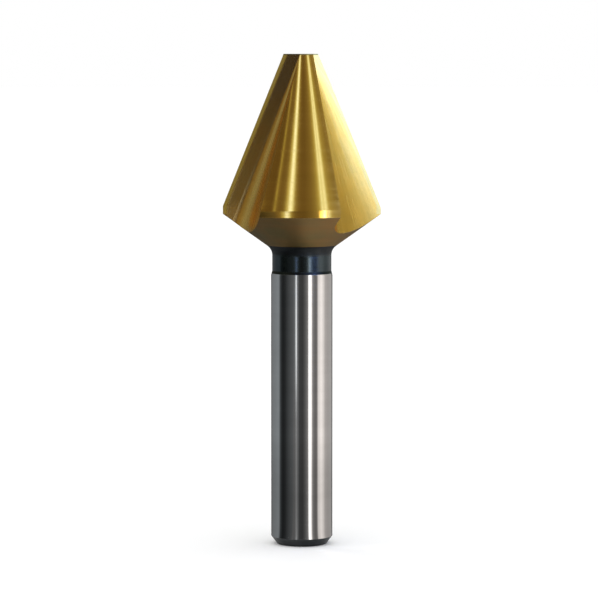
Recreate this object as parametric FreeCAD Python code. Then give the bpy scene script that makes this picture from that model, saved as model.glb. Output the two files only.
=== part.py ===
"""Three-flute countersink bit with a straight shank. Lengths in millimetres.

One solid. It stands on the end of its shank at z = 0 with the cutting cone up along +Z.
"""
import math
import os

import FreeCAD
import Part

# Shank, which goes into the chuck
shank_diameter = 10.0
shank_length = 44.0
shank_end_diameter = 8.1
shank_chamfer_length = 1.28

# Neck left unground between the shank and the head
neck_diameter = 9.63
neck_taper_length = 0.7
neck_length = 3.5
neck_fillet_radius = 1.9

# Head: back cone, narrow cylindrical band and cutting cone with its flat tip
head_diameter = 25.66
tip_diameter = 5.92
cutting_cone_angle = 43.7
back_cone_angle = 109.0
band_height = 1.3

# Land behind each cutting edge, ground lower toward the heel
grinding_stock = 0.1
land_relief = 0.12
land_middle_bearing = 4.0
land_span = 60.0

# Flutes, which widen evenly from a point just above the tip
flute_count = 3
rake_bearing = 26.0
rake_offset = 0.62
flute_start_above_tip = 1.5
flute_start_along = -0.31

# Flute section at one depth below that point, which the others follow in proportion
section_depth = 25.0
wall_distance = 5.7
wall_flat_ahead = 11.75
wall_hollow_radius = 33.75
root_radius = 3.25

shank_radius = shank_diameter / 2
shank_end_radius = shank_end_diameter / 2
neck_radius = neck_diameter / 2
head_radius = head_diameter / 2
tip_radius = tip_diameter / 2
cone_slope = math.tan(math.radians(cutting_cone_angle / 2))
back_slope = math.tan(math.radians(back_cone_angle / 2))
pitch_angle = 360.0 / flute_count

# Heights above the shank's end face
neck_start = shank_length + neck_taper_length
back_cone_start = neck_start + neck_length
band_start = back_cone_start + (head_radius - neck_radius) / back_slope
band_end = band_start + band_height
tip_height = band_end + (head_radius - tip_radius) / cone_slope
overrun = head_radius / 4


def around(bearing, reach=1.0):
    """Horizontal vector at a bearing in degrees from -Y, counted toward +X."""
    turn = math.radians(bearing)
    return FreeCAD.Vector(reach * math.sin(turn), -reach * math.cos(turn), 0)


def outline_point(radius, height):
    """Point of the turned outline."""
    return FreeCAD.Vector(radius, 0, height)


def line(start, end):
    """Straight edge between two points."""
    return Part.LineSegment(start, end).toShape()


def neck_fillet_points():
    """Start, middle and end of the hollow between the neck and the back cone."""
    turned = math.radians(back_cone_angle / 2)
    setback = neck_fillet_radius * math.tan(turned / 2)
    start_height = back_cone_start - setback
    centre_radius = neck_radius + neck_fillet_radius
    points = []
    for share in (0.0, 0.5, 1.0):
        swing = turned * share
        radius = centre_radius - neck_fillet_radius * math.cos(swing)
        height = start_height + neck_fillet_radius * math.sin(swing)
        points.append(outline_point(radius, height))
    return points


def turned_blank():
    """The bit before its flutes are ground: shank, neck, back cone, band and cutting cone."""
    fillet = neck_fillet_points()
    end_middle = outline_point(0, 0)
    end_edge = outline_point(shank_end_radius, 0)
    chamfer_edge = outline_point(shank_radius, shank_chamfer_length)
    shank_top = outline_point(shank_radius, shank_length)
    neck_bottom = outline_point(neck_radius, neck_start)
    band_bottom = outline_point(head_radius, band_start)
    band_top = outline_point(head_radius, band_end + grinding_stock / cone_slope)
    tip_edge = outline_point(tip_radius + grinding_stock, tip_height)
    tip_middle = outline_point(0, tip_height)
    below = [end_middle, end_edge, chamfer_edge, shank_top, neck_bottom, fillet[0]]
    above = [fillet[2], band_bottom, band_top, tip_edge, tip_middle, end_middle]
    edges = [line(a, b) for a, b in zip(below, below[1:])]
    edges.append(Part.Arc(*fillet).toShape())
    edges += [line(a, b) for a, b in zip(above, above[1:])]
    face = Part.Face(Part.Wire(edges))
    return face.revolve(FreeCAD.Vector(0, 0, 0), FreeCAD.Vector(0, 0, 1), 360)


def sector_start(tooth):
    """Bearing in the flute behind a tooth, where its sector begins."""
    return rake_bearing + 50.0 + pitch_angle * (tooth - 1)


def tooth_sector(tooth):
    """Wedge that holds one tooth, with its two sides in the flutes beside it."""
    reach = head_radius * 3
    first = sector_start(tooth)
    steps = 4
    rim = [around(first + pitch_angle * i / steps, reach) for i in range(steps + 1)]
    corners = [FreeCAD.Vector(0, 0, 0)] + rim + [FreeCAD.Vector(0, 0, 0)]
    wedge = Part.Face(Part.makePolygon(corners))
    wedge.translate(FreeCAD.Vector(0, 0, band_start + band_height / 4))
    return wedge.extrude(FreeCAD.Vector(0, 0, tip_height - band_start + overrun))


def relieved_cone(tooth):
    """Cone set off its axis, so that the land it forms drops from the edge to the heel."""
    half_span = math.radians(land_span / 2)
    offset = land_relief / (2 * math.sin(half_span))
    drop = offset * math.sin(half_span)
    low = band_start - overrun
    high = tip_height + tip_radius / 4
    low_radius = tip_radius + (tip_height - low) * cone_slope - drop
    high_radius = tip_radius + (tip_height - high) * cone_slope - drop
    bearing = land_middle_bearing + 90.0 + pitch_angle * tooth
    foot = around(bearing, offset) + FreeCAD.Vector(0, 0, low)
    upward = FreeCAD.Vector(0, 0, 1)
    cone = Part.makeCone(low_radius, high_radius, high - low, foot, upward)
    return cone.rotate(foot, upward, sector_start(tooth) - 90.0)


def land_cutter(tooth):
    """What the grinding of one land takes away."""
    return tooth_sector(tooth).cut(relieved_cone(tooth))


def flute_section(tooth, depth):
    """Closed section of one flute, some depth below the point that it widens from."""
    height = tip_height + flute_start_above_tip - depth
    share = depth / section_depth
    reach = section_depth * 6
    hollow_along = wall_distance + wall_hollow_radius
    root_swing = wall_hollow_radius - root_radius
    root_drop = wall_flat_ahead - root_radius
    root_along = hollow_along - math.sqrt(root_swing ** 2 - root_drop ** 2)
    meeting = math.atan2(root_drop, hollow_along - root_along)

    def place(along, ahead):
        bearing = rake_bearing + pitch_angle * tooth
        outward = around(bearing, flute_start_along + along * share)
        forward = around(bearing + 90.0, rake_offset + ahead * share)
        return outward + forward + FreeCAD.Vector(0, 0, height)

    def root(turn):
        along = root_along - root_radius * math.cos(turn)
        return place(along, root_radius - root_radius * math.sin(turn))

    def wall(turn):
        along = hollow_along - wall_hollow_radius * math.cos(turn)
        return place(along, wall_flat_ahead - wall_hollow_radius * math.sin(turn))

    rake_end = place(reach, 0)
    root_start = root(math.pi / 2)
    wall_start = wall(meeting)
    wall_flat = wall(0)
    wall_end = place(wall_distance, reach)
    outside = place(reach, reach)
    return Part.Wire([
        line(rake_end, root_start),
        Part.Arc(root_start, root((math.pi / 2 + meeting) / 2), wall_start).toShape(),
        Part.Arc(wall_start, wall(meeting / 2), wall_flat).toShape(),
        line(wall_flat, wall_end),
        line(wall_end, outside),
        line(outside, rake_end),
    ])


def flute_cutter(tooth):
    """Body of one flute: upright rake face, round root and hollow back wall."""
    top = flute_section(tooth, flute_start_above_tip / 2)
    run = tip_height + flute_start_above_tip - back_cone_start + overrun
    return Part.makeLoft([top, flute_section(tooth, run)], True, True)


def countersink_bit():
    """The finished bit, one solid."""
    shape = turned_blank()
    for tooth in range(flute_count):
        shape = shape.cut(land_cutter(tooth))
    flutes = [flute_cutter(tooth) for tooth in range(flute_count)]
    return shape.cut(flutes).removeSplitter()


def main():
    """Write the STEP file of the bit."""
    os.makedirs("parts", exist_ok=True)
    bit = countersink_bit()
    if len(bit.Solids) != 1 or not bit.isValid():
        raise RuntimeError("the bit isn't one valid solid")
    bit.Solids[0].exportStep("parts/countersink_bit.step")
    box = bit.BoundBox
    print("length", round(box.ZLength, 3), "volume", round(bit.Volume, 1))


main()
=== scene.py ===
"""Looks of a countersink bit: a gold-coated cutting head, an unground neck and a bright shank.

The bit is one CAD solid, so its finishes are zones of one material, told apart by the height, the
distance from the axis and the place in the section of a flute. These are in millimetres inside the
bit's material. All other lengths are metres. Some zones are not finishes but painted light and
painted shade, and one flute's are also told apart by its bearing.
"""
import logging
import math
from dataclasses import dataclass, field
from enum import Enum

import bpy
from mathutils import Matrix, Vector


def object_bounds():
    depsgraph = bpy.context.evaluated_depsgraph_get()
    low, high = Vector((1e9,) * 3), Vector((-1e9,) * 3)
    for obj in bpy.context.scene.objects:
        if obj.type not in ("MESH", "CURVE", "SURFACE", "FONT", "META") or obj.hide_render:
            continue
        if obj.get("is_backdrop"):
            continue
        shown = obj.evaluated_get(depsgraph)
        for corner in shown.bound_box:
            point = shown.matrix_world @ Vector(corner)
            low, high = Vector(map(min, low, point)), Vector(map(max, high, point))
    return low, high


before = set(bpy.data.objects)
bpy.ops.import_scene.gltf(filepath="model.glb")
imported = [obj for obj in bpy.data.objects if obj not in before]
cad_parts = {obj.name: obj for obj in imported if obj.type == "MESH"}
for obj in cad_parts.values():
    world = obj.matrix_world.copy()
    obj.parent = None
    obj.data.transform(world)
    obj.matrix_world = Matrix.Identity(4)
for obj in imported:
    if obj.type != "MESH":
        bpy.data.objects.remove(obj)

log = logging.getLogger("countersink_bit")
Colour = tuple[float, float, float]
Span = tuple[float, float]
Socket = bpy.types.NodeSocket
Value = Socket | float | tuple

FULL_TURN = 2 * math.pi
MILLIMETRES = 1000.0


class Grain(Enum):
    """Which way the fine lines of a finish run."""

    ROUND = "round the axis"
    LENGTHWISE = "along a flute"
    NONE = "no lines"


class Mixed(Enum):
    """What a Mix node mixes: its data type, the places of its inputs and that of its result."""

    NUMBER = ("FLOAT", (0, 2, 3), 0)
    VECTOR = ("VECTOR", (0, 4, 5), 1)
    COLOUR = ("RGBA", (0, 6, 7), 2)


@dataclass(frozen=True)
class Finish:
    """How one zone of the bit looks.

    It varies from its colour to its tint, its roughness grows by the spread on the lines, and the line
    share is how deep they are in the bump.
    """

    colour: Colour
    tint: Colour
    roughness: float
    roughness_spread: float
    line_share: float
    grain: Grain = Grain.ROUND


BRIGHT_STEEL = Finish((0.66, 0.65, 0.64), (0.61, 0.60, 0.59), 0.05, 0.04, 0.10)
MILL_SCALE = Finish((0.071, 0.088, 0.095), (0.057, 0.072, 0.079), 0.16, 0.06, 0.20, Grain.NONE)
# Dark scale on the foot's chamfer; in the fillet under the back cone the same dark colour is painted
# shade.
DARK_SCALE_AND_FILLET_SHADE = Finish((0.050, 0.054, 0.056), (0.036, 0.040, 0.042), 0.42, 0.10, 0.20, Grain.NONE)
# Scale on the taper, darker than the neck's: the extra darkness is painted shade.
TAPER_SCALE_AND_SHADE = Finish((0.034, 0.037, 0.036), (0.028, 0.031, 0.031), 0.42, 0.10, 0.20, Grain.NONE)
# Rough turned coat of the back cone; its colour is darker than the lands' as painted shade.
DULL_COAT_AND_PAINTED_SHADE = Finish((0.44, 0.256, 0.092), (0.33, 0.244, 0.098), 0.40, 0.10, 0.30)
TIP_EDGE = Finish((0.34, 0.26, 0.090), (0.26, 0.22, 0.080), 0.35, 0.10, 0.20)
LAND_NITRIDE = Finish((0.94, 0.51, 0.10), (0.88, 0.48, 0.09), 0.055, 0.07, 0.27)
# The rakes' coat, with grain along the flutes; its colour is darker than the lands' as painted shade.
RAKE_COAT_AND_PAINTED_SHADE = Finish((0.68, 0.36, 0.085), (0.58, 0.37, 0.11), 0.16, 0.06, 0.20, Grain.LENGTHWISE)
# Painted shade: a darker copy of the rakes' coat near the tip.
PAINTED_SHADE_NEAR_TIP = Finish((0.48, 0.31, 0.12), (0.44, 0.27, 0.11), 0.20, 0.06, 0.20, Grain.LENGTHWISE)
WALL_NITRIDE = Finish((1.0, 0.51, 0.09), (0.86, 0.49, 0.11), 0.18, 0.10, 0.45, Grain.LENGTHWISE)
# Painted light: a paler copy of the walls' coat, beside the root of one flute and on the rakes' low
# corners.
PAINTED_LIGHT_NITRIDE = Finish((0.97, 0.61, 0.215), (0.89, 0.57, 0.205), 0.22, 0.10, 0.40, Grain.LENGTHWISE)
# Painted shade: a darker copy of the coat in that same flute, farther from the rake.
PAINTED_SHADE_NITRIDE = Finish((0.53, 0.39, 0.155), (0.49, 0.37, 0.145), 0.24, 0.10, 0.40, Grain.LENGTHWISE)
# A deeper orange copy of the walls' coat at their low end; on the rakes' low corners it is painted light.
DEEP_ORANGE_NITRIDE = Finish((0.94, 0.46, 0.07), (0.82, 0.43, 0.08), 0.20, 0.09, 0.45, Grain.LENGTHWISE)
HONED_EDGE = Finish((0.90, 0.60, 0.17), (0.86, 0.56, 0.15), 0.26, 0.10, 0.20, Grain.LENGTHWISE)


class Sheet:
    """Adds nodes to one node tree and links them."""

    PER_ROW = 16
    COLUMN_WIDTH = 190
    ROW_HEIGHT = 260

    def __init__(self, tree: bpy.types.NodeTree) -> None:
        """Start on a tree."""
        self.tree = tree
        self.count = 0

    def node(self, kind: str, **settings: object) -> bpy.types.Node:
        """Add a node.

        Args:
            kind: Blender's name of the type.
            settings: Properties to set on the node.

        Returns:
            The new node.
        """
        made = self.tree.nodes.new(kind)
        row, column = divmod(self.count, self.PER_ROW)
        made.location = (column * self.COLUMN_WIDTH, -row * self.ROW_HEIGHT)
        self.count += 1
        for name, value in settings.items():
            setattr(made, name, value)
        return made

    def feed(self, socket: Socket, value: Value) -> None:
        """Link a socket to another one, or set it to a plain value.

        Args:
            socket: The input that is fed.
            value: An output, or the plain value.
        """
        if isinstance(value, Socket):
            self.tree.links.new(value, socket)
        else:
            socket.default_value = value

    def calc(self, operation: str, *values: Value) -> Socket:
        """Add a Math node.

        Args:
            operation: The node's operation.
            values: What its inputs get, in order.

        Returns:
            The result.
        """
        made = self.node("ShaderNodeMath", operation=operation)
        for socket, value in zip(made.inputs, values):
            self.feed(socket, value)
        return made.outputs[0]

    def product(self, first: Value, *others: Value) -> Socket:
        """Multiply several numbers.

        Args:
            first: The first number.
            others: The others.

        Returns:
            Their product.
        """
        result = first
        for other in others:
            result = self.calc("MULTIPLY", result, other)
        return result

    def ramp_up(self, value: Value, low: float, high: float) -> Socket:
        """Go smoothly from 0 at one value to 1 at another.

        Args:
            value: What is read.
            low: Where the result is 0, which may be the larger of the two.
            high: Where the result is 1.

        Returns:
            The result.
        """
        made = self.node("ShaderNodeMapRange", interpolation_type="SMOOTHSTEP", clamp=True)
        self.feed(made.inputs["Value"], value)
        made.inputs["From Min"].default_value = min(low, high)
        made.inputs["From Max"].default_value = max(low, high)
        made.inputs["To Min"].default_value = float(low > high)
        made.inputs["To Max"].default_value = float(low < high)
        return made.outputs["Result"]

    def between(self, value: Value, low: float, high: float, soft: float) -> Socket:
        """Mask what lies between two values.

        Args:
            value: What is read.
            low: The lower bound.
            high: The upper bound.
            soft: How wide each of its edges is.

        Returns:
            The mask.
        """
        rising = self.ramp_up(value, low - soft / 2, low + soft / 2)
        falling = self.ramp_up(value, high + soft / 2, high - soft / 2)
        return self.product(rising, falling)

    def mix(self, kind: Mixed, share: Value, first: Value, second: Value) -> Socket:
        """Mix two values by a share.

        Args:
            kind: What is mixed.
            share: Share of the second value.
            first: The result where the share is 0.
            second: The result where the share is 1.

        Returns:
            The mixture.
        """
        data_type, inputs, result = kind.value
        made = self.node("ShaderNodeMix", data_type=data_type)
        for place, value in zip(inputs, (share, first, second)):
            self.feed(made.inputs[place], (*value, 1.0) if isinstance(value, tuple) else value)
        return made.outputs[result]

    def vector(self, x: Value, y: Value, z: Value) -> Socket:
        """Make a vector of three numbers.

        Args:
            x: The first.
            y: The second.
            z: The third.

        Returns:
            The vector.
        """
        made = self.node("ShaderNodeCombineXYZ")
        for socket, value in zip(made.inputs, (x, y, z)):
            self.feed(socket, value)
        return made.outputs[0]

    def split(self, vector: Socket) -> tuple[Socket, Socket, Socket]:
        """Take a vector apart.

        Args:
            vector: The vector.

        Returns:
            Its three numbers.
        """
        made = self.node("ShaderNodeSeparateXYZ")
        self.feed(made.inputs[0], vector)
        return tuple(made.outputs)

    def scaled(self, vector: Socket, scale: float) -> Socket:
        """Scale coordinates with a Mapping node.

        Args:
            vector: The coordinates.
            scale: How many times they grow.

        Returns:
            The scaled coordinates.
        """
        made = self.node("ShaderNodeMapping")
        self.feed(made.inputs["Vector"], vector)
        made.inputs["Scale"].default_value = (scale, scale, scale)
        return made.outputs[0]

    def noise(self, vector: Socket, scale: Value, detail: float, rough: float = 0.5) -> Socket:
        """Read a noise pattern.

        Args:
            vector: Where it is read.
            scale: Its scale.
            detail: How many finer layers it has.
            rough: How strong each of them is.

        Returns:
            A value about 0.5.
        """
        made = self.node("ShaderNodeTexNoise", noise_dimensions="3D")
        self.feed(made.inputs["Vector"], vector)
        self.feed(made.inputs["Scale"], scale)
        made.inputs["Detail"].default_value = detail
        made.inputs["Roughness"].default_value = rough
        return made.outputs["Fac"]

    def use(self, group: bpy.types.NodeTree, **inputs: Value) -> dict[str, Socket]:
        """Place a shared group.

        Args:
            group: The group.
            inputs: What its inputs get, by name.

        Returns:
            Its outputs by name.
        """
        made = self.node("ShaderNodeGroup", node_tree=group)
        for name, value in inputs.items():
            self.feed(made.inputs[name], value)
        return {socket.name: socket for socket in made.outputs}


class SharedGroup:
    """A shader node group with named inputs and outputs, built once."""

    def __init__(
        self, name: str, inputs: dict[str, str], outputs: tuple[str, ...], vectors: tuple[str, ...] = ()
    ) -> None:
        """Make the empty group.

        Args:
            name: The group's name.
            inputs: Socket type of each input, by name.
            outputs: Names of the outputs that are numbers.
            vectors: Names of the outputs that are vectors.
        """
        self.tree = bpy.data.node_groups.new(name, "ShaderNodeTree")
        sockets = [(label, "INPUT", kind) for label, kind in inputs.items()]
        sockets += [(label, "OUTPUT", "Float") for label in outputs]
        sockets += [(label, "OUTPUT", "Vector") for label in vectors]
        for label, way, kind in sockets:
            self.tree.interface.new_socket(label, in_out=way, socket_type="NodeSocket" + kind)
        self.sheet = Sheet(self.tree)
        self.inputs = self.sheet.node("NodeGroupInput").outputs

    def close(self, **results: Value) -> bpy.types.NodeTree:
        """Link the results to the outputs.

        Args:
            results: What each output gives, by name.

        Returns:
            The finished group.
        """
        end = self.sheet.node("NodeGroupOutput")
        for name, value in results.items():
            self.sheet.feed(end.inputs[name], value)
        return self.tree


@dataclass
class ShopGroups:
    """The patterns that the finishes share, with the bit's sizes that they follow.

    A spread gives the values of the noise that become 0 and 1.
    """

    flute_count: int = 3
    rake_bearing: float = 26.0
    fold_start: float = 4.0
    flute_apex: float = 81.33
    flute_along: float = -0.31
    flute_ahead: float = 0.62
    land_middle: float = 4.0
    land_offset: float = 0.12
    cone_half_angle: float = 21.85
    least_depth: float = 1.0
    line_spread: Span = (0.30, 0.70)
    cloud_spread: Span = (0.35, 0.65)
    speck_spread: Span = (0.40, 0.72)
    band_fineness: float = 0.22
    speck_fineness: float = 9.0

    @property
    def pitch(self) -> float:
        """Angle from one tooth to the next."""
        return FULL_TURN / self.flute_count

    def axis_frame(self) -> bpy.types.NodeTree:
        """Height and distance from the axis in millimetres, and the bearing in radians.

        Returns:
            The group.
        """
        group = SharedGroup("axis_frame", {"Point": "Vector"}, ("Height", "Radius", "Bearing"))
        sheet = group.sheet
        x, y, z = sheet.split(sheet.scaled(group.inputs["Point"], MILLIMETRES))
        square = sheet.calc("ADD", sheet.product(x, x), sheet.product(y, y))
        bearing = sheet.calc("ARCTAN2", x, sheet.product(y, -1.0))
        return group.close(Height=z, Radius=sheet.calc("SQRT", square), Bearing=bearing)

    def folded(self, sheet: Sheet, bearing: Socket, start: float) -> Socket:
        """Angle past the start of a bearing's own pitch, where one pitch starts at the given bearing."""
        positive = sheet.calc("ADD", bearing, FULL_TURN - start)
        return sheet.calc("FLOORED_MODULO", positive, self.pitch)

    def flute_frame(self) -> bpy.types.NodeTree:
        """Place in the section of a flute, which widens from a point above the tip.

        Returns:
            The group.
        """
        inputs = {"Height": "Float", "Radius": "Float", "Bearing": "Float"}
        group = SharedGroup("flute_frame", inputs, ("Along", "Ahead", "Depth"))
        sheet = group.sheet
        before = math.radians(self.fold_start)
        start = math.radians(self.rake_bearing) - before
        swing = sheet.calc("SUBTRACT", self.folded(sheet, group.inputs["Bearing"], start), before)
        along = sheet.product(group.inputs["Radius"], sheet.calc("COSINE", swing))
        ahead = sheet.product(group.inputs["Radius"], sheet.calc("SINE", swing))
        depth = sheet.calc("SUBTRACT", self.flute_apex, group.inputs["Height"])
        held = sheet.calc("MAXIMUM", depth, self.least_depth)
        across = sheet.calc("DIVIDE", sheet.calc("SUBTRACT", along, self.flute_along), held)
        forward = sheet.calc("DIVIDE", sheet.calc("SUBTRACT", ahead, self.flute_ahead), held)
        return group.close(Along=across, Ahead=forward, Depth=depth)

    def land_normal(self) -> bpy.types.NodeTree:
        """Direction that a relieved land faces, each land's cone being set off the axis.

        Returns:
            The group.
        """
        group = SharedGroup("land_normal", {"Radius": "Float", "Bearing": "Float"}, (), ("Normal",))
        sheet = group.sheet
        start = math.radians(self.land_middle) - self.pitch / 2
        past = self.folded(sheet, group.inputs["Bearing"], start)
        swing = sheet.calc("SUBTRACT", past, self.pitch / 2)
        outward = sheet.product(group.inputs["Radius"], sheet.calc("COSINE", swing))
        aside = sheet.product(group.inputs["Radius"], sheet.calc("SINE", swing))
        faced = sheet.calc("ARCTAN2", sheet.calc("SUBTRACT", aside, self.land_offset), outward)
        bearing = sheet.calc("ADD", group.inputs["Bearing"], sheet.calc("SUBTRACT", faced, swing))
        level = math.cos(math.radians(self.cone_half_angle))
        up = math.sin(math.radians(self.cone_half_angle))
        east = sheet.product(sheet.calc("SINE", bearing), level)
        north = sheet.product(sheet.calc("COSINE", bearing), -level)
        return group.close(Normal=sheet.vector(east, north, up))

    def grind_lines(self) -> bpy.types.NodeTree:
        """Fine lines across the pattern's third coordinate, with a few deeper ones.

        Returns:
            The group.
        """
        group = SharedGroup("grind_lines", {"Vector": "Vector", "Fineness": "Float"}, ("Lines", "Bands"))
        sheet = group.sheet
        fine = sheet.noise(group.inputs["Vector"], group.inputs["Fineness"], 4.0, 0.65)
        coarser = sheet.product(group.inputs["Fineness"], self.band_fineness)
        broad = sheet.noise(group.inputs["Vector"], coarser, 2.0)
        lines = sheet.ramp_up(fine, *self.line_spread)
        return group.close(Lines=lines, Bands=sheet.ramp_up(broad, *self.cloud_spread))

    def mottling(self) -> bpy.types.NodeTree:
        """Cloudy variation of a coat or scale, with finer specks.

        Returns:
            The group.
        """
        group = SharedGroup("mottling", {"Vector": "Vector", "Scale": "Float"}, ("Clouds", "Specks"))
        sheet = group.sheet
        clouds = sheet.noise(group.inputs["Vector"], group.inputs["Scale"], 3.0)
        finer = sheet.product(group.inputs["Scale"], self.speck_fineness)
        specks = sheet.noise(group.inputs["Vector"], finer, 2.0, 0.6)
        spread_clouds = sheet.ramp_up(clouds, *self.cloud_spread)
        return group.close(Clouds=spread_clouds, Specks=sheet.ramp_up(specks, *self.speck_spread))


@dataclass
class Spot:
    """Where a point of the surface lies, round the axis and in the section of its flute.

    Sunk is how far it is inside the turned cone and band, off_back how far from the back cone.
    """

    point: Socket
    height: Socket
    radius: Socket
    bearing: Socket
    along: Socket
    ahead: Socket
    depth: Socket
    sunk: Socket
    off_back: Socket


@dataclass
class BitMaterial:
    """The bit's one material, whose zones follow the turned and ground shape.

    A span gives where a mask is 0 and where it is 1. The spans named ahead are in the proportions of
    the flute's section, the others in millimetres.
    """

    chamfer_top: float = 1.28
    steel_top: float = 44.30
    neck_bottom: float = 44.70
    fillet_bottom: float = 47.20
    scale_top: float = 48.92
    band_bottom: float = 53.92
    band_top: float = 55.20
    tip_height: float = 79.83
    band_radius: float = 12.83
    tip_radius: float = 2.96
    cone_slope: float = 0.4009
    back_slope: float = 1.402
    seam: float = 0.03
    land_likeness: Span = (0.75, 0.90)
    land_sunk: Span = (0.36, 0.26)
    back_reach: Span = (0.10, 0.05)
    wall_ahead: Span = (0.0005, 0.004)
    # Where the deeper orange at the low end of the walls lies.
    deep_orange_depth: Span = (20.0, 28.0)
    deep_orange_ahead: Span = (0.085, 0.11)
    # Where one flute gets painted light, chosen by its bearing.
    painted_flute_bearing: float = -60.0
    painted_flute_cosine: Span = (0.45, 0.65)
    painted_light_ahead: Span = (0.012, 0.60)
    painted_light_seam: float = 0.02
    # Where the rakes' low corners get painted light, and how much of the paler copy they take.
    corner_depth: Span = (24.5, 27.5)
    corner_sunk: Span = (4.0, 2.0)
    corner_light_share: float = 0.4
    # Where the painted shade in that flute lies, and how it fades.
    painted_shade_ahead: Span = (0.05, 0.20)
    painted_shade_depth: Span = (23.0, 27.5)
    painted_shade_fading: float = 0.45
    # Where the painted shade on the rakes near the tip lies.
    shade_near_tip_depth: Span = (14.0, 5.0)
    honed_sunk: Span = (0.90, 0.50)
    honed_share: float = 0.7
    rolled_sunk: Span = (0.90, 0.40)
    rolled_share: float = 0.42
    tip_share: float = 0.8
    mottling_scale: float = 260.0
    turned_fineness: float = 1.9
    turned_drift: float = 0.12
    ground_fineness: float = 42.0
    ground_drift: float = 0.0022
    bump_strength: float = 0.25
    bump_distance: float = 0.00001

    def build(self) -> bpy.types.Material:
        """Make the material.

        Returns:
            The finished material.
        """
        material = bpy.data.materials.new("coated_steel_bit")
        material.use_nodes = True
        material.node_tree.nodes.clear()
        sheet = Sheet(material.node_tree)
        groups = ShopGroups()
        spot = self.spot(sheet, groups)
        plain = sheet.node("ShaderNodeNewGeometry").outputs["Normal"]
        ground = sheet.use(groups.land_normal(), Radius=spot.radius, Bearing=spot.bearing)["Normal"]
        masks = self.turned_zones(sheet, spot)
        masks |= self.ground_zones(sheet, spot, masks, self.alike(sheet, plain, ground))
        masks |= self.shades(sheet, spot, masks)
        colour, roughness, height = self.layers(sheet, masks, groups, spot)
        shader = sheet.node("ShaderNodeBsdfPrincipled")
        shader.inputs["Metallic"].default_value = 1.0
        sheet.feed(shader.inputs["Base Color"], colour)
        sheet.feed(shader.inputs["Roughness"], roughness)
        bump = sheet.node("ShaderNodeBump")
        bump.inputs["Strength"].default_value = self.bump_strength
        bump.inputs["Distance"].default_value = self.bump_distance
        sheet.feed(bump.inputs["Height"], height)
        sheet.feed(bump.inputs["Normal"], self.facing(sheet, spot, masks, plain, ground))
        sheet.feed(shader.inputs["Normal"], bump.outputs[0])
        end = sheet.node("ShaderNodeOutputMaterial")
        sheet.feed(end.inputs["Surface"], shader.outputs[0])
        return material

    def spot(self, sheet: Sheet, groups: ShopGroups) -> Spot:
        """Find where each point of the surface lies.

        Args:
            sheet: The material's nodes.
            groups: The shared patterns.

        Returns:
            Its place.
        """
        point = sheet.node("ShaderNodeTexCoord").outputs["Object"]
        axis = sheet.use(groups.axis_frame(), Point=point)
        height, radius, bearing = axis["Height"], axis["Radius"], axis["Bearing"]
        flute = sheet.use(groups.flute_frame(), Height=height, Radius=radius, Bearing=bearing)
        below_band = sheet.calc("SUBTRACT", self.band_bottom, height)
        back = sheet.calc("SUBTRACT", self.band_radius, sheet.product(below_band, self.back_slope))
        below_tip = sheet.calc("SUBTRACT", self.tip_height, height)
        cone = sheet.calc("ADD", self.tip_radius, sheet.product(below_tip, self.cone_slope))
        skin = sheet.calc("MINIMUM", cone, self.band_radius)
        return Spot(
            point=point,
            height=height,
            radius=radius,
            bearing=bearing,
            along=flute["Along"],
            ahead=flute["Ahead"],
            depth=flute["Depth"],
            sunk=sheet.calc("SUBTRACT", skin, radius),
            off_back=sheet.calc("ABSOLUTE", sheet.calc("SUBTRACT", radius, back)),
        )

    def alike(self, sheet: Sheet, plain: Socket, ground: Socket) -> Socket:
        """Mask where the surface faces as a land would there.

        Args:
            sheet: The material's nodes.
            plain: The surface's own normal.
            ground: The normal that a land would have.

        Returns:
            The mask.
        """
        dot = sheet.node("ShaderNodeVectorMath", operation="DOT_PRODUCT")
        sheet.feed(dot.inputs[0], plain)
        sheet.feed(dot.inputs[1], ground)
        return sheet.ramp_up(dot.outputs["Value"], *self.land_likeness)

    def turned_zones(self, sheet: Sheet, spot: Spot) -> dict[str, Socket]:
        """Where the zones of the turned blank lie, which only the height tells apart.

        Args:
            sheet: The material's nodes.
            spot: Where the point lies.

        Returns:
            The masks by name.
        """
        height = spot.height
        # The fillet under the back cone takes painted shade, and the foot's chamfer dark scale.
        fillet = sheet.ramp_up(height, self.fillet_bottom - 0.2, self.fillet_bottom + 0.5)
        foot = sheet.ramp_up(height, self.chamfer_top + 0.6, self.chamfer_top + 0.5)
        tip = sheet.ramp_up(height, self.tip_height - 0.28, self.tip_height - 0.12)
        return {
            "steel": sheet.between(height, self.chamfer_top, self.steel_top, self.seam),
            # The taper's scale, darkened by painted shade.
            "taper": sheet.between(height, self.steel_top - 0.1, self.neck_bottom + 0.05, 0.2),
            # Dark scale on the foot, painted shade in the fillet.
            "foot_scale_and_fillet_shade": sheet.calc("MAXIMUM", fillet, foot),
            "head": sheet.ramp_up(height, self.scale_top - 0.1, self.scale_top + 0.1),
            "upper": sheet.ramp_up(height, self.band_bottom - self.seam, self.band_bottom + self.seam),
            "tip": sheet.product(tip, self.tip_share),
        }

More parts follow.
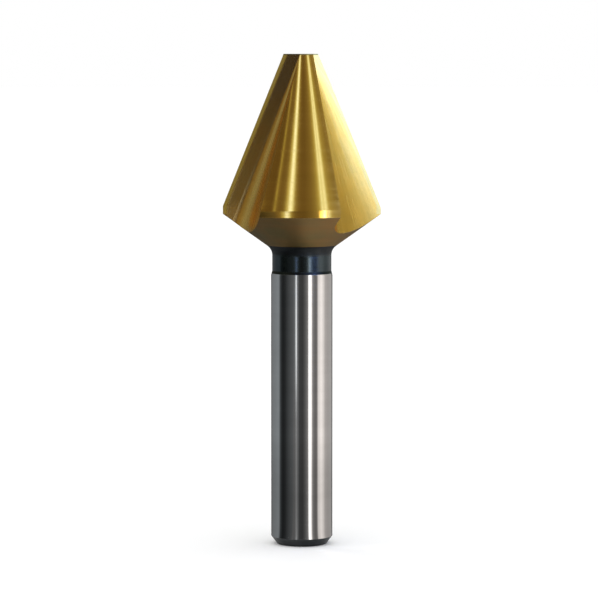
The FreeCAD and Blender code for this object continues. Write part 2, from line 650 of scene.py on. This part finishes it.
    def ground_zones(
        self, sheet: Sheet, spot: Spot, turned: dict[str, Socket], alike: Socket
    ) -> dict[str, Socket]:
        """Where the lands, the back cone and the faces of the flutes lie.

        Args:
            sheet: The material's nodes.
            spot: Where the point lies.
            turned: Masks of the turned zones.
            alike: Mask of what faces as a land would.

        Returns:
            The masks by name.
        """
        under = sheet.ramp_up(spot.height, self.band_bottom + self.seam, self.band_bottom - self.seam)
        outward = sheet.product(alike, sheet.ramp_up(spot.sunk, *self.land_sunk))
        inside = sheet.calc("SUBTRACT", 1.0, outward)
        away = sheet.product(sheet.ramp_up(spot.off_back, *reversed(self.back_reach)), turned["head"])
        flute = sheet.mix(Mixed.NUMBER, turned["upper"], away, inside)
        wall = sheet.product(flute, sheet.ramp_up(spot.ahead, *self.wall_ahead))
        conical = sheet.between(spot.height, self.band_top + self.seam, self.tip_height - 0.01, 0.01)
        return {
            # The back cone, whose darker coat colour is painted shade.
            "back": sheet.product(sheet.ramp_up(spot.off_back, *self.back_reach), turned["head"], under),
            "inside": inside,
            "flute": flute,
            "wall": wall,
            # The rakes, whose darker coat colour is painted shade.
            "rake": sheet.calc("SUBTRACT", flute, wall),
            "land": sheet.product(conical, outward),
        }

    def shades(self, sheet: Sheet, spot: Spot, masks: dict[str, Socket]) -> dict[str, Socket]:
        """Where the flutes get painted shade, painted light, a deeper orange at the low end of the walls,
        or a honed edge.

        Args:
            sheet: The material's nodes.
            spot: Where the point lies.
            masks: The zones.

        Returns:
            The masks by name.
        """
        wall, rake = masks["wall"], masks["rake"]
        # A deeper orange at the low end of each wall, away from the rake.
        low_end = sheet.ramp_up(spot.depth, *self.deep_orange_depth)
        deep_orange = sheet.product(wall, low_end, sheet.ramp_up(spot.ahead, *self.deep_orange_ahead))
        # One flute, picked by its bearing, gets painted light beside its root and painted shade farther
        # out.
        turned = sheet.calc("SUBTRACT", spot.bearing, math.radians(self.painted_flute_bearing))
        painted_flute = sheet.ramp_up(sheet.calc("COSINE", turned), *self.painted_flute_cosine)
        root_side = sheet.between(spot.ahead, *self.painted_light_ahead, self.painted_light_seam)
        painted_light_wall = sheet.product(wall, root_side, painted_flute)
        # The rakes' low corners get painted light.
        low_corner = sheet.ramp_up(spot.depth, *self.corner_depth)
        corner = sheet.product(rake, low_corner, sheet.ramp_up(spot.sunk, *self.corner_sunk))
        painted_light = sheet.calc("MAXIMUM", painted_light_wall, sheet.product(corner, self.corner_light_share))
        # The painted shade fades towards the low end.
        low_part = sheet.ramp_up(spot.depth, *self.painted_shade_depth)
        fading = sheet.calc("MULTIPLY_ADD", low_part, -self.painted_shade_fading, 1.0)
        honed = sheet.ramp_up(spot.sunk, *self.honed_sunk)
        rolled = sheet.ramp_up(spot.sunk, *self.rolled_sunk)
        return {
            "deep_orange": sheet.calc("MAXIMUM", deep_orange, corner),
            "painted_light": painted_light,
            # Painted shade inside the painted light of that one flute.
            "inner": sheet.product(painted_light, sheet.ramp_up(spot.ahead, *self.painted_shade_ahead), fading),
            # Painted shade on the rakes near the tip.
            "shade_near_tip": sheet.product(rake, sheet.ramp_up(spot.depth, *self.shade_near_tip_depth)),
            "edge": sheet.product(masks["inside"], honed, masks["upper"], self.honed_share),
            "rolled": sheet.product(rake, masks["upper"], rolled),
        }

    def facing(
        self, sheet: Sheet, spot: Spot, masks: dict[str, Socket], plain: Socket, ground: Socket
    ) -> Socket:
        """Smooth normal: true to the shank's cylinder and to the lands' cones, rolled at the edges.

        Args:
            sheet: The material's nodes.
            spot: Where the point lies.
            masks: The zones.
            plain: The surface's own normal.
            ground: The normal that a land has.

        Returns:
            The normal.
        """
        north = sheet.product(sheet.calc("COSINE", spot.bearing), -1.0)
        level = sheet.vector(sheet.calc("SINE", spot.bearing), north, 0.0)
        straight = sheet.mix(Mixed.VECTOR, masks["steel"], plain, level)
        turned = sheet.calc("MAXIMUM", masks["land"], sheet.product(masks["rolled"], self.rolled_share))
        return sheet.mix(Mixed.VECTOR, turned, straight, ground)

    def grain_lines(self, sheet: Sheet, groups: ShopGroups, spot: Spot) -> dict[Grain, dict[str, Socket]]:
        """The lines that turning and grinding leave.

        Args:
            sheet: The material's nodes.
            groups: The shared patterns.
            spot: Where the point lies.

        Returns:
            The lines round the axis and those along the flutes.
        """
        grind = groups.grind_lines()
        east = sheet.product(sheet.calc("SINE", spot.bearing), self.turned_drift)
        north = sheet.product(sheet.calc("COSINE", spot.bearing), self.turned_drift)
        turned = sheet.vector(east, north, spot.height)
        section = sheet.vector(spot.along, spot.ahead, sheet.product(spot.depth, self.ground_drift))
        return {
            Grain.ROUND: sheet.use(grind, Vector=turned, Fineness=self.turned_fineness),
            Grain.LENGTHWISE: sheet.use(grind, Vector=section, Fineness=self.ground_fineness),
        }

    def layers(
        self, sheet: Sheet, masks: dict[str, Socket], groups: ShopGroups, spot: Spot
    ) -> tuple[Socket, Socket, Socket]:
        """Lay the finishes over each other.

        Args:
            sheet: The material's nodes.
            masks: Where each finish lies.
            groups: The shared patterns.
            spot: Where the point lies.

        Returns:
            Colour, roughness and bump height.
        """
        mottling = sheet.use(groups.mottling(), Vector=spot.point, Scale=self.mottling_scale)
        patterns = self.grain_lines(sheet, groups, spot)
        patterns[Grain.NONE] = {"Lines": mottling["Specks"], "Bands": mottling["Clouds"]}
        # Some of these finishes are painted light and painted shade, not colours of the bit.
        stack = (
            (MILL_SCALE, None),
            (DARK_SCALE_AND_FILLET_SHADE, masks["foot_scale_and_fillet_shade"]),
            (TAPER_SCALE_AND_SHADE, masks["taper"]),
            (BRIGHT_STEEL, masks["steel"]),
            (LAND_NITRIDE, masks["head"]),
            (DULL_COAT_AND_PAINTED_SHADE, masks["back"]),
            (RAKE_COAT_AND_PAINTED_SHADE, masks["flute"]),
            (PAINTED_SHADE_NEAR_TIP, masks["shade_near_tip"]),
            (WALL_NITRIDE, masks["wall"]),
            (DEEP_ORANGE_NITRIDE, masks["deep_orange"]),
            (PAINTED_LIGHT_NITRIDE, masks["painted_light"]),
            (PAINTED_SHADE_NITRIDE, masks["inner"]),
            (HONED_EDGE, masks["edge"]),
            (TIP_EDGE, masks["tip"]),
        )
        colour, roughness, height = None, None, None
        for finish, mask in stack:
            pattern = patterns[finish.grain]
            share = sheet.mix(Mixed.NUMBER, 0.5, pattern["Bands"], mottling["Clouds"])
            shade = sheet.mix(Mixed.COLOUR, share, finish.colour, finish.tint)
            rough = sheet.calc("MULTIPLY_ADD", pattern["Lines"], finish.roughness_spread, finish.roughness)
            groove = sheet.product(pattern["Lines"], finish.line_share)
            if mask is None:
                colour, roughness, height = shade, rough, groove
            else:
                colour = sheet.mix(Mixed.COLOUR, mask, colour, shade)
                roughness = sheet.mix(Mixed.NUMBER, mask, roughness, rough)
                height = sheet.mix(Mixed.NUMBER, mask, height, groove)
        return colour, roughness, height


@dataclass
class CountersinkBit:
    """The bit itself, whose CAD node stays and gets its finishes."""

    node: str = "countersink_bit"

    def dress(self) -> bpy.types.Object:
        """Put the material on the node.

        Returns:
            The node's object.
        """
        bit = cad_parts[self.node]
        material = BitMaterial().build()
        for slot in bit.material_slots:
            slot.material = material
        return bit


@dataclass
class StudioFloor:
    """Plain pale floor, the soft lamp over it and the white room round it."""

    width: float = 12.0
    drop: float = 0.00002
    colour: Colour = (0.95, 0.95, 0.95)
    paler: Colour = (0.97, 0.97, 0.97)
    roughness: float = 0.9
    lift: float = 0.06
    lamp_place: tuple = (0.0, -0.1, 1.2)
    lamp_width: float = 1.0
    lamp_power: float = 2.0

    def build(self) -> bpy.types.Object:
        """Make the floor, the lamp over it and the white room.

        Returns:
            The floor.
        """
        bpy.ops.object.select_all(action="DESELECT")
        bpy.ops.mesh.primitive_plane_add(size=self.width, location=(0.0, 0.0, -self.drop))
        floor = bpy.context.active_object
        floor.name = "studio_floor"
        floor.data.materials.append(self.paint())
        floor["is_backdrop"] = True
        self.light()
        self.room()
        return floor

    def paint(self) -> bpy.types.Material:
        """Matt pale floor with a barely seen unevenness.

        Returns:
            The material.
        """
        material = bpy.data.materials.new("pale_floor")
        material.use_nodes = True
        sheet = Sheet(material.node_tree)
        shader = material.node_tree.nodes["Principled BSDF"]
        shader.inputs["Roughness"].default_value = self.roughness
        shader.inputs["Emission Color"].default_value = (1.0, 1.0, 1.0, 1.0)
        shader.inputs["Emission Strength"].default_value = self.lift
        point = sheet.node("ShaderNodeTexCoord").outputs["Object"]
        worn = sheet.noise(sheet.scaled(point, 1.0), 6.0, 2.0)
        sheet.feed(shader.inputs["Base Color"], sheet.mix(Mixed.COLOUR, worn, self.colour, self.paler))
        return material

    def light(self) -> None:
        """Soft lamp straight above, which gives the contact shadow."""
        bpy.ops.object.light_add(type="AREA", location=self.lamp_place)
        lamp = bpy.context.active_object
        lamp.name = "soft_lamp"
        lamp.data.size = self.lamp_width
        lamp.data.energy = self.lamp_power
        lamp.visible_glossy = False

    def room(self) -> None:
        """White world for every ray."""
        world = bpy.data.worlds.new("white_room")
        bpy.context.scene.world = world
        world.use_nodes = True
        back = world.node_tree.nodes["Background"]
        back.inputs["Color"].default_value = (1.0, 1.0, 1.0, 1.0)
        back.inputs["Strength"].default_value = 1.0


class Tone(Enum):
    """What the colour of the panels' light follows."""

    STRENGTH = "warm where it is dim and cool where it is bright"
    SIDE = "cool on the left and warm on the right"


@dataclass(frozen=True)
class Strips:
    """Brightness of the panels at bearings in degrees, with 0 toward the camera."""

    tone: Tone
    stops: tuple[tuple[float, float], ...]
    least_blue: float = 0.72
    most_blue: float = 5.5

    def light(self, bearing: float, strength: float) -> Colour:
        """Light of the panel at a bearing.

        Args:
            bearing: The bearing.
            strength: Its brightness.

        Returns:
            The light, which may be above 1.
        """
        if self.tone is Tone.SIDE:
            side = math.sin(math.radians(bearing))
            return strength * (0.985 + 0.075 * side), strength, strength * (1.01 - 0.05 * side)
        blue = min(self.most_blue, max(self.least_blue * strength, 1.22 * strength**2))
        return 0.73 * strength**0.8, strength, blue


@dataclass(frozen=True)
class Patch:
    """Part of the panels that is brighter or dimmer than its strips say.

    Its bearings are the first, the last and how wide the edges there are, in degrees.
    """

    change: float
    bottom: float
    top: float
    rim: float
    bearings: tuple[float, float, float] | None = None


def ring_share(bearing: float) -> float:
    """Place of a bearing in degrees on the ring, from 0 to 1."""
    return (bearing + 180) / 360


@dataclass
class LightTent:
    """Soft panels round the bit that only its reflections show, and their mirror on the floor.

    The shank mirrors the low strips, the head the middle and the high ones. A span gives the heights
    or distances from the axis where a change begins and where it is full.
    """

    radius: float = 0.35
    height: float = 0.62
    inner_radius: float = 0.0068
    apron_lift: float = 0.0004
    facets: int = 128
    shank_radius: float = 0.005
    peak: float = 4.0
    low: Strips = Strips(Tone.SIDE, (
        (-180, 0.05), (-160, 0.12), (-146, 0.24), (-97, 0.33), (-87, 0.06), (-76, 0.02), (-65, 0.03),
        (-50, 0.08), (-32, 0.14), (-28.5, 0.17), (-24, 0.30), (-21, 1.60), (-17, 0.28), (-10, 0.07),
        (3, 0.06), (10, 0.11), (18, 0.20), (24, 0.40), (28, 3.00), (33, 2.60), (37, 1.05), (41, 0.33),
        (51, 0.18), (59, 0.24), (64, 1.00), (78, 1.32), (88, 1.02), (98, 0.60), (111, 0.51),
        (142, 0.50), (157, 0.18), (180, 0.05),
    ))
    middle: Strips = Strips(Tone.STRENGTH, (
        (-180, 0.14), (-150, 0.17), (-126, 0.20), (-102, 0.26), (-85, 0.32), (-72, 0.32), (-60, 0.26),
        (-48, 0.20), (-36, 0.13), (-25, 0.08), (-10, 0.07), (5, 0.10), (20, 0.30), (32, 1.20),
        (42, 1.90), (52, 2.25), (61, 2.25), (66, 1.65), (70, 1.00), (75, 0.65), (81, 0.50), (87, 0.38),
        (95, 0.38), (110, 0.45), (130, 0.35), (150, 0.22), (180, 0.14),
    ))
    high: Strips = Strips(Tone.STRENGTH, (
        (-180, 0.80), (-140, 0.40), (-80, 0.12), (-50, 0.11), (-47.5, 0.20), (-45, 0.50), (-42.5, 0.22),
        (-38, 0.16), (-33, 0.18), (-29.5, 0.25), (-26, 0.65), (-23.5, 1.00), (-21, 1.90),
        (-18.5, 1.90), (-16, 1.20), (-13.5, 0.48), (-11, 0.28), (-7, 0.18), (-3, 0.145), (4, 0.14),
        (15, 0.20), (23, 0.31), (28, 0.52), (31.5, 0.95), (33.5, 1.70), (36.5, 1.15), (39.5, 1.70),
        (41.5, 1.35), (44, 0.68), (48, 0.42), (60, 0.25), (140, 0.90),
    ))
    low_end: Span = (0.030, 0.033)
    low_drop: float = 0.016
    dropped_bearings: Span = (-31, -45)
    beam_end: Span = (0.060, 0.038)
    high_start: Span = (0.268, 0.285)
    left_strip: tuple = (-31, -15, 6)
    dimmed: Colour = (0.04, 0.04, 0.04)
    inner_part: Span = (0.345, 0.15)
    inner_dimming: float = 0.85
    raised_part: Span = (0.0195, 0.0212)
    raised_dimming: float = 0.75
    brighter_part: Span = (0.19, 0.225)
    brighter_by: float = 0.60
    foot_part: Span = (0.16, 0.06)
    foot_change: float = -0.2
    lean: float = 40.0
    lean_start: float = 0.35
    most_lean_below: float = 0.03
    patches: tuple[Patch, ...] = (
        Patch(-0.16, 0.05, 0.277, 0.017),
        Patch(0.9, 0.05, 0.11, 0.05, (-80, -28, 12)),
        Patch(1.6, 0.028, 0.044, 0.006, (24.5, 35.5, 3)),
    )

    def build(self) -> list[bpy.types.Object]:
        """Make the ring of panels and their mirror on the floor.

        Returns:
            Both objects.
        """
        glow = self.glow()
        made = [self.wall(), self.apron()]
        for panel in made:
            panel.data.materials.append(glow)
            panel.visible_camera = False
            panel.visible_diffuse = False
            panel.visible_transmission = False
            panel.visible_shadow = False
            panel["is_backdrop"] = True
        return made

    def wall(self) -> bpy.types.Object:
        """Open ring of panels that stands on the floor.

        Returns:
            The ring.
        """
        bpy.ops.object.select_all(action="DESELECT")
        bpy.ops.mesh.primitive_cylinder_add(
            vertices=self.facets,
            radius=self.radius,
            depth=self.height,
            end_fill_type="NOTHING",
            location=(0.0, 0.0, self.height / 2),
        )
        bpy.ops.object.transform_apply(location=True)
        wall = bpy.context.active_object
        wall.name = "tent_wall"
        return wall

    def apron(self) -> bpy.types.Object:
        """Flat ring close over the floor, from near the shank to the panels.

        Returns:
            The ring.
        """
        bpy.ops.object.select_all(action="DESELECT")
        bpy.ops.mesh.primitive_circle_add(
            vertices=self.facets,
            radius=self.inner_radius,
            fill_type="NOTHING",
            location=(0.0, 0.0, self.apron_lift),
        )
        bpy.ops.object.transform_apply(location=True)
        apron = bpy.context.active_object
        apron.name = "tent_apron"
        bpy.ops.object.mode_set(mode="EDIT")
        bpy.ops.mesh.select_all(action="SELECT")
        bpy.ops.mesh.extrude_region_move()
        wider = self.radius / self.inner_radius
        bpy.ops.transform.resize(value=(wider, wider, 1.0))
        bpy.ops.object.mode_set(mode="OBJECT")
        return apron

    def ramp(self, sheet: Sheet, turn: Socket, strips: Strips) -> Socket:
        """Light of the panels by their bearing.

        Args:
            sheet: The material's nodes.
            turn: Place on the ring, from 0 to 1.
            strips: How bright they are.

        Returns:
            The light, over the peak.
        """
        made = sheet.node("ShaderNodeValToRGB")
        sheet.feed(made.inputs[0], turn)
        ramp = made.color_ramp
        ramp.interpolation = "LINEAR"
        while len(ramp.elements) > 1:
            ramp.elements.remove(ramp.elements[-1])
        for number, (bearing, strength) in enumerate(strips.stops):
            place = ring_share(bearing)
            stop = ramp.elements[0] if number == 0 else ramp.elements.new(place)
            stop.position = place
            stop.color = tuple(part / self.peak for part in strips.light(bearing, strength)) + (1.0,)
        return made.outputs[0]

    def sector(self, sheet: Sheet, turn: Socket, first: float, last: float, soft: float) -> Socket:
        """Mask the panels between two bearings, with edges some degrees wide."""
        return sheet.between(turn, ring_share(first), ring_share(last), soft / 360)

    def low_light(self, sheet: Sheet, turn: Socket, bearing: Socket, reach: Socket, z: Socket) -> Socket:
        """Light that the shank mirrors, with its strips kept straight down to the floor.

        Args:
            sheet: The material's nodes.
            turn: Place on the ring, from 0 to 1.
            bearing: Bearing in radians.
            reach: Distance from the axis.
            z: Height.

        Returns:
            The light.
        """
        inner = sheet.product(sheet.ramp_up(reach, *self.inner_part), self.inner_dimming)
        raised = sheet.product(sheet.ramp_up(z, *self.raised_part), self.raised_dimming)
        left_strip = self.sector(sheet, turn, *self.left_strip)
        dim = sheet.product(left_strip, sheet.calc("MAXIMUM", inner, raised))
        swing = sheet.calc("SINE", sheet.product(bearing, 0.5))
        closer = sheet.calc("DIVIDE", self.shank_radius, reach)
        nearer = sheet.calc("SUBTRACT", closer, self.shank_radius / self.radius)
        straight = sheet.calc("MULTIPLY_ADD", sheet.product(swing, nearer), 1 / FULL_TURN, turn)
        return sheet.mix(Mixed.COLOUR, dim, self.ramp(sheet, straight, self.low), self.dimmed)

    def strength(self, sheet: Sheet, turn: Socket, reach: Socket, z: Socket) -> Socket:
        """How bright the panels are over what their strips say.

        Args:
            sheet: The material's nodes.
            turn: Place on the ring, from 0 to 1.
            reach: Distance from the axis.
            z: Height.

        Returns:
            The strength of the glow.
        """
        brighter = sheet.ramp_up(z, *self.brighter_part)
        under_high = sheet.calc("SUBTRACT", brighter, sheet.ramp_up(z, *self.high_start))
        change = sheet.calc("MULTIPLY_ADD", under_high, self.brighter_by, 1.0)
        for patch in self.patches:
            mask = sheet.between(z, patch.bottom, patch.top, patch.rim)
            if patch.bearings is not None:
                mask = sheet.product(mask, self.sector(sheet, turn, *patch.bearings))
            change = sheet.calc("MULTIPLY_ADD", mask, patch.change, change)
        foot = sheet.ramp_up(reach, *self.foot_part)
        change = sheet.calc("MULTIPLY_ADD", foot, self.foot_change, change)
        return sheet.product(change, self.peak)

    def glow(self) -> bpy.types.Material:
        """Glow of the panels, in strips that change a little with height.

        Returns:
            The material.
        """
        material = bpy.data.materials.new("tent_glow")
        material.use_nodes = True
        material.node_tree.nodes.clear()
        sheet = Sheet(material.node_tree)
        x, y, z = sheet.split(sheet.node("ShaderNodeTexCoord").outputs["Object"])
        bearing = sheet.calc("ARCTAN2", x, sheet.product(y, -1.0))
        turn = sheet.calc("MULTIPLY_ADD", bearing, 1 / FULL_TURN, 0.5)
        reach = sheet.calc("SQRT", sheet.calc("ADD", sheet.product(x, x), sheet.product(y, y)))
        over = sheet.calc("MAXIMUM", sheet.calc("SUBTRACT", z, self.lean_start), -self.most_lean_below)
        leaning = sheet.calc("MULTIPLY_ADD", over, -self.lean / 360, turn)
        on_left = sheet.ramp_up(turn, *(ring_share(bearing) for bearing in self.dropped_bearings))
        level = sheet.calc("MULTIPLY_ADD", on_left, -self.low_drop, z)
        above_low = sheet.ramp_up(level, *self.low_end)
        beam = sheet.product(above_low, sheet.ramp_up(z, *self.beam_end))
        bottom = self.low_light(sheet, turn, bearing, reach, z)
        middle = self.ramp(sheet, turn, self.middle)
        top = self.ramp(sheet, leaning, self.high)
        lower = sheet.mix(Mixed.COLOUR, above_low, bottom, middle)
        high_share = sheet.calc("MAXIMUM", beam, sheet.ramp_up(z, *self.high_start))
        shader = sheet.node("ShaderNodeEmission")
        sheet.feed(shader.inputs["Strength"], self.strength(sheet, turn, reach, z))
        sheet.feed(shader.inputs["Color"], sheet.mix(Mixed.COLOUR, high_share, lower, top))
        end = sheet.node("ShaderNodeOutputMaterial")
        sheet.feed(end.inputs["Surface"], shader.outputs[0])
        return material


@dataclass
class PhotoCamera:
    """Camera a little above the bit's tip, tipped down on it."""

    place: tuple = (0.0, -0.4977, 0.08059)
    pitch: float = 4.656
    focal_pixels: float = 3068.0
    picture_pixels: float = 598.0
    axis_pixel: float = 301.8
    sensor: float = 36.0
    clip: tuple = (0.01, 50.0)

    def build(self) -> bpy.types.Object:
        """Add the camera and make it the scene's.

        Returns:
            The camera.
        """
        turn = (math.radians(90 - self.pitch), 0.0, 0.0)
        bpy.ops.object.camera_add(location=self.place, rotation=turn)
        camera = bpy.context.active_object
        camera.name = "photo_camera"
        camera.data.sensor_width = self.sensor
        camera.data.lens = self.focal_pixels / self.picture_pixels * self.sensor
        camera.data.shift_x = (self.picture_pixels / 2 - self.axis_pixel) / self.picture_pixels
        camera.data.clip_start, camera.data.clip_end = self.clip
        bpy.context.scene.camera = camera
        return camera


@dataclass
class SizeNote:
    """Box of the CAD before the bit is dressed."""

    cad: list = field(default_factory=list)

    def plain(self) -> list[list[float]]:
        """The object's box now, as plain numbers."""
        return [[float(part) for part in corner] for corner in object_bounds()]

    def write(self) -> None:
        """Does nothing: no box is written."""


def main() -> None:
    """Dress the bit and build the studio round it."""
    logging.basicConfig(level=logging.INFO, format="%(message)s")
    sizes = SizeNote()
    sizes.cad = sizes.plain()
    bpy.context.scene.view_settings.view_transform = "Standard"
    camera = PhotoCamera().build()
    log.info("camera %s with a %.1f mm lens", camera.name, camera.data.lens)
    bit = CountersinkBit().dress()
    log.info("bit %s dressed, %d faces", bit.name, len(bit.data.polygons))
    floor = StudioFloor().build()
    log.info("floor %s", floor.name)
    for panel in LightTent().build():
        log.info("panel %s", panel.name)
    sizes.write()


if __name__ == "__main__":
    main()
